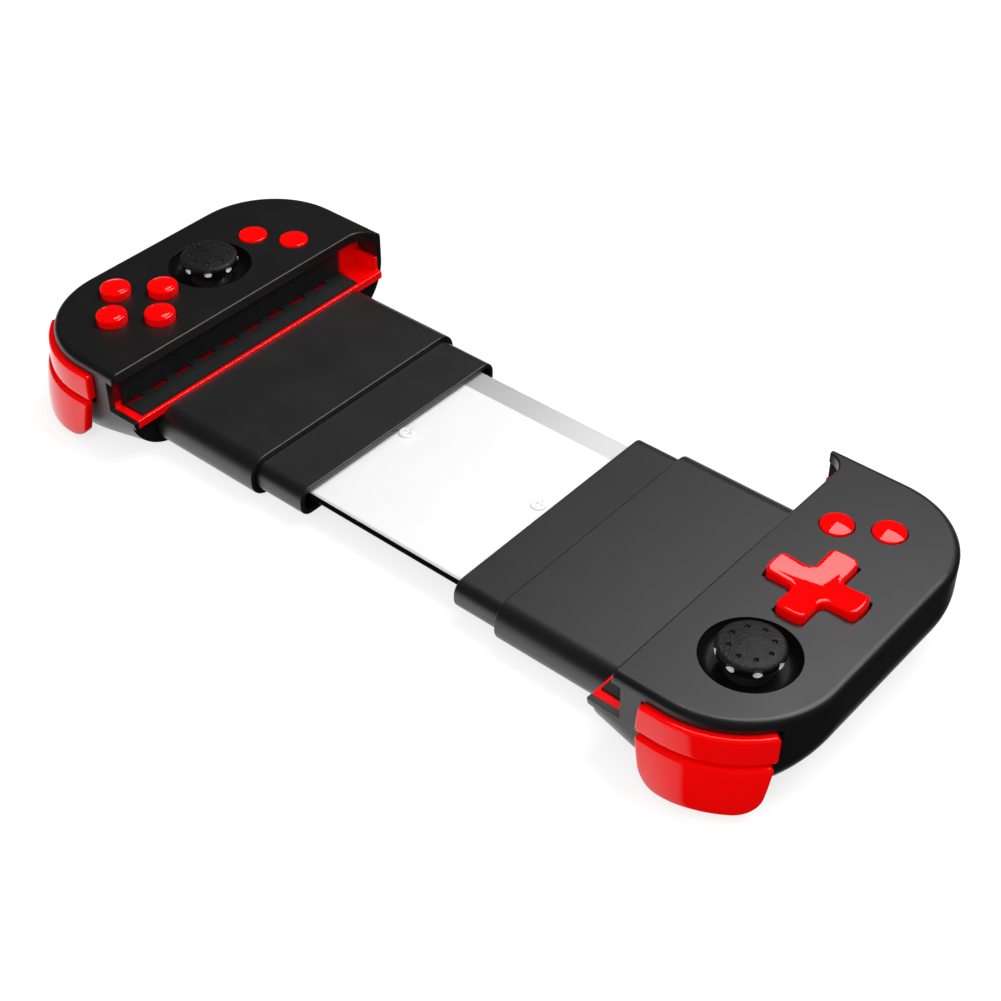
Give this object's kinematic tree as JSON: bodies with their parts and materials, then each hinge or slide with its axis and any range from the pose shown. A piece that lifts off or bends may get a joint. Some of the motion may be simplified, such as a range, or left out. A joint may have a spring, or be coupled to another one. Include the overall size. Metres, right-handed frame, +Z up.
{
  "type": "telescopic mobile gamepad",
  "caption": "Telescopic two-handed gamepad that grips a phone between its hand modules, with sticks, direction pad, face buttons and shoulder keys on a sliding steel bridge.",
  "frame": {"origin": "middle of the gamepad's bounding box, on the surface that it lies on", "axes": "+X from the left hand module to the right one, +Y away from the player, +Z up out of the face"},
  "size_m": [0.253, 0.104, 0.0303],
  "materials": {
    "shell_plastic": "satin",
    "sleeve_plastic": "satin",
    "red_plastic": "gloss",
    "black_rubber": "matte",
    "stick_rubber": "matte",
    "polished_steel": "polished",
    "tray_plastic": "matte",
    "inner_plastic": "matte",
    "board_laminate": "satin",
    "silicone": "matte",
    "zinc_steel": "satin",
    "dark_screw": "satin",
    "cell_wrap": "satin"
  },
  "bodies": {
    "centre_slide": {"slider_plate": "polished_steel", "slider_tray": "tray_plastic", "slider_screws": "polished_steel"},
    "right_inner_slide": {"right_inner_sleeve": "sleeve_plastic"},
    "right_hand_module": {"right_outer_sleeve": "sleeve_plastic", "right_top_shell": "shell_plastic", "right_bottom_shell": "shell_plastic", "right_slot_liner": "red_plastic", "right_back_pad": "black_rubber", "right_floor_pad": "black_rubber", "right_main_board": "board_laminate", "right_stick_base": "inner_plastic", "right_rubber_domes": "silicone", "right_shoulder_bracket": "inner_plastic", "right_shoulder_pins": "zinc_steel", "right_shoulder_switches": "inner_plastic", "right_shoulder_springs": "zinc_steel", "right_case_screws": "dark_screw", "battery": "cell_wrap", "charge_port": "zinc_steel"},
    "right_stick_yoke": {"right_stick_yoke": "inner_plastic"},
    "right_stick_pivot": {"right_stick_pivot": "inner_plastic"},
    "right_stick": {"right_stick_lever": "tray_plastic", "right_stick_cap": "stick_rubber"},
    "right_bumper": {"right_bumper": "red_plastic"},
    "right_trigger": {"right_trigger": "red_plastic"},
    "right_small_button_inner": {"right_small_button_inner": "red_plastic"},
    "right_small_button_outer": {"right_small_button_outer": "red_plastic"},
    "left_inner_slide": {"left_inner_sleeve": "sleeve_plastic"},
    "left_hand_module": {"left_outer_sleeve": "sleeve_plastic", "left_top_shell": "shell_plastic", "left_bottom_shell": "shell_plastic", "left_slot_liner": "red_plastic", "left_back_pad": "black_rubber", "left_floor_pad": "black_rubber", "left_main_board": "board_laminate", "left_stick_base": "inner_plastic", "left_rubber_domes": "silicone", "left_shoulder_bracket": "inner_plastic", "left_shoulder_pins": "zinc_steel", "left_shoulder_switches": "inner_plastic", "left_shoulder_springs": "zinc_steel", "left_case_screws": "dark_screw", "direction_pad_post": "inner_plastic"},
    "left_stick_yoke": {"left_stick_yoke": "inner_plastic"},
    "left_stick_pivot": {"left_stick_pivot": "inner_plastic"},
    "left_stick": {"left_stick_lever": "tray_plastic", "left_stick_cap": "stick_rubber"},
    "left_bumper": {"left_bumper": "red_plastic"},
    "left_trigger": {"left_trigger": "red_plastic"},
    "left_small_button_inner": {"left_small_button_inner": "red_plastic"},
    "left_small_button_outer": {"left_small_button_outer": "red_plastic"},
    "right_button_outer": {"right_button_outer": "red_plastic"},
    "right_button_inner": {"right_button_inner": "red_plastic"},
    "right_button_front": {"right_button_front": "red_plastic"},
    "right_button_rear": {"right_button_rear": "red_plastic"},
    "direction_pad_gimbal": {"direction_pad_gimbal": "inner_plastic"},
    "direction_pad": {"direction_pad": "red_plastic"}
  },
  "joints": [
    {"name": "right_inner_sleeve_slide", "type": "slide", "parent": "centre_slide", "child": "right_inner_slide", "axis": [1, 0, 0], "range_m": [-0.0251, 0.0039]},
    {"name": "right_hand_module_slide", "type": "slide", "parent": "right_inner_slide", "child": "right_hand_module", "axis": [1, 0, 0], "range_m": [-0.0167, 0.0036]},
    {"name": "right_stick_tilt_forward", "type": "hinge", "parent": "right_hand_module", "child": "right_stick_yoke", "pos_m": [0.1047, -0.00735, 0.0184], "axis": [1, 0, 0], "range_deg": [-13, 13], "stiffness_Nm_per_rad": 0.02},
    {"name": "right_stick_tilt_sideways", "type": "hinge", "parent": "right_stick_yoke", "child": "right_stick_pivot", "pos_m": [0.1047, -0.00735, 0.0184], "axis": [0, 1, 0], "range_deg": [-13, 13], "stiffness_Nm_per_rad": 0.02},
    {"name": "right_stick_click", "type": "slide", "parent": "right_stick_pivot", "child": "right_stick", "axis": [0, 0, -1], "range_m": [0, 0.0005], "stiffness_N_per_m": 1500, "springref_m": -0.0003},
    {"name": "right_bumper_press", "type": "hinge", "parent": "right_hand_module", "child": "right_bumper", "pos_m": [0.0938, 0.04335, 0.0214], "axis": [0, 0, -1], "range_deg": [0, 2.1], "stiffness_Nm_per_rad": 0.1, "springref_deg": -2.86, "deforming": ["right_shoulder_springs"]},
    {"name": "right_trigger_pull", "type": "hinge", "parent": "right_hand_module", "child": "right_trigger", "pos_m": [0.0951, 0.04325, 0.0126], "axis": [-0.9659, 0.2588, 0], "range_deg": [0, 11], "stiffness_Nm_per_rad": 0.03, "springref_deg": -11.46, "deforming": ["right_shoulder_springs"]},
    {"name": "right_small_button_inner_press", "type": "slide", "parent": "right_hand_module", "child": "right_small_button_inner", "axis": [0, 0, -1], "range_m": [0, 0.0006], "stiffness_N_per_m": 500, "springref_m": -0.0004, "deforming": ["right_rubber_domes"]},
    {"name": "right_small_button_outer_press", "type": "slide", "parent": "right_hand_module", "child": "right_small_button_outer", "axis": [0, 0, -1], "range_m": [0, 0.0006], "stiffness_N_per_m": 500, "springref_m": -0.0004, "deforming": ["right_rubber_domes"]},
    {"name": "left_inner_sleeve_slide", "type": "slide", "parent": "centre_slide", "child": "left_inner_slide", "axis": [-1, 0, 0], "range_m": [-0.0273, 0.0017]},
    {"name": "left_hand_module_slide", "type": "slide", "parent": "left_inner_slide", "child": "left_hand_module", "axis": [-1, 0, 0], "range_m": [-0.0145, 0.0058]},
    {"name": "left_stick_tilt_forward", "type": "hinge", "parent": "left_hand_module", "child": "left_stick_yoke", "pos_m": [-0.1047, 0.02265, 0.0184], "axis": [1, 0, 0], "range_deg": [-13, 13], "stiffness_Nm_per_rad": 0.02},
    {"name": "left_stick_tilt_sideways", "type": "hinge", "parent": "left_stick_yoke", "child": "left_stick_pivot", "pos_m": [-0.1047, 0.02265, 0.0184], "axis": [0, 1, 0], "range_deg": [-13, 13], "stiffness_Nm_per_rad": 0.02},
    {"name": "left_stick_click", "type": "slide", "parent": "left_stick_pivot", "child": "left_stick", "axis": [0, 0, -1], "range_m": [0, 0.0005], "stiffness_N_per_m": 1500, "springref_m": -0.0003},
    {"name": "left_bumper_press", "type": "hinge", "parent": "left_hand_module", "child": "left_bumper", "pos_m": [-0.0938, 0.04335, 0.0214], "axis": [0, 0, 1], "range_deg": [0, 2.1], "stiffness_Nm_per_rad": 0.1, "springref_deg": -2.86, "deforming": ["left_shoulder_springs"]},
    {"name": "left_trigger_pull", "type": "hinge", "parent": "left_hand_module", "child": "left_trigger", "pos_m": [-0.0951, 0.04325, 0.0126], "axis": [-0.9659, -0.2588, 0], "range_deg": [0, 11], "stiffness_Nm_per_rad": 0.03, "springref_deg": -11.46, "deforming": ["left_shoulder_springs"]},
    {"name": "left_small_button_inner_press", "type": "slide", "parent": "left_hand_module", "child": "left_small_button_inner", "axis": [0, 0, -1], "range_m": [0, 0.0006], "stiffness_N_per_m": 500, "springref_m": -0.0004, "deforming": ["left_rubber_domes"]},
    {"name": "left_small_button_outer_press", "type": "slide", "parent": "left_hand_module", "child": "left_small_button_outer", "axis": [0, 0, -1], "range_m": [0, 0.0006], "stiffness_N_per_m": 500, "springref_m": -0.0004, "deforming": ["left_rubber_domes"]},
    {"name": "right_button_outer_press", "type": "slide", "parent": "right_hand_module", "child": "right_button_outer", "axis": [0, 0, -1], "range_m": [0, 0.0012], "stiffness_N_per_m": 400, "springref_m": -0.0005, "deforming": ["right_rubber_domes"]},
    {"name": "right_button_inner_press", "type": "slide", "parent": "right_hand_module", "child": "right_button_inner", "axis": [0, 0, -1], "range_m": [0, 0.0012], "stiffness_N_per_m": 400, "springref_m": -0.0005, "deforming": ["right_rubber_domes"]},
    {"name": "right_button_front_press", "type": "slide", "parent": "right_hand_module", "child": "right_button_front", "axis": [0, 0, -1], "range_m": [0, 0.0012], "stiffness_N_per_m": 400, "springref_m": -0.0005, "deforming": ["right_rubber_domes"]},
    {"name": "right_button_rear_press", "type": "slide", "parent": "right_hand_module", "child": "right_button_rear", "axis": [0, 0, -1], "range_m": [0, 0.0012], "stiffness_N_per_m": 400, "springref_m": -0.0005, "deforming": ["right_rubber_domes"]},
    {"name": "direction_pad_rock_forward", "type": "hinge", "parent": "left_hand_module", "child": "direction_pad_gimbal", "pos_m": [-0.1044, -0.00485, 0.0229], "axis": [1, 0, 0], "range_deg": [-4.5, 4.5], "stiffness_Nm_per_rad": 0.03, "deforming": ["left_rubber_domes"]},
    {"name": "direction_pad_rock_sideways", "type": "hinge", "parent": "direction_pad_gimbal", "child": "direction_pad", "pos_m": [-0.1044, -0.00485, 0.0229], "axis": [0, 1, 0], "range_deg": [-4.5, 4.5], "stiffness_Nm_per_rad": 0.03, "deforming": ["left_rubber_domes"]}
  ]
}
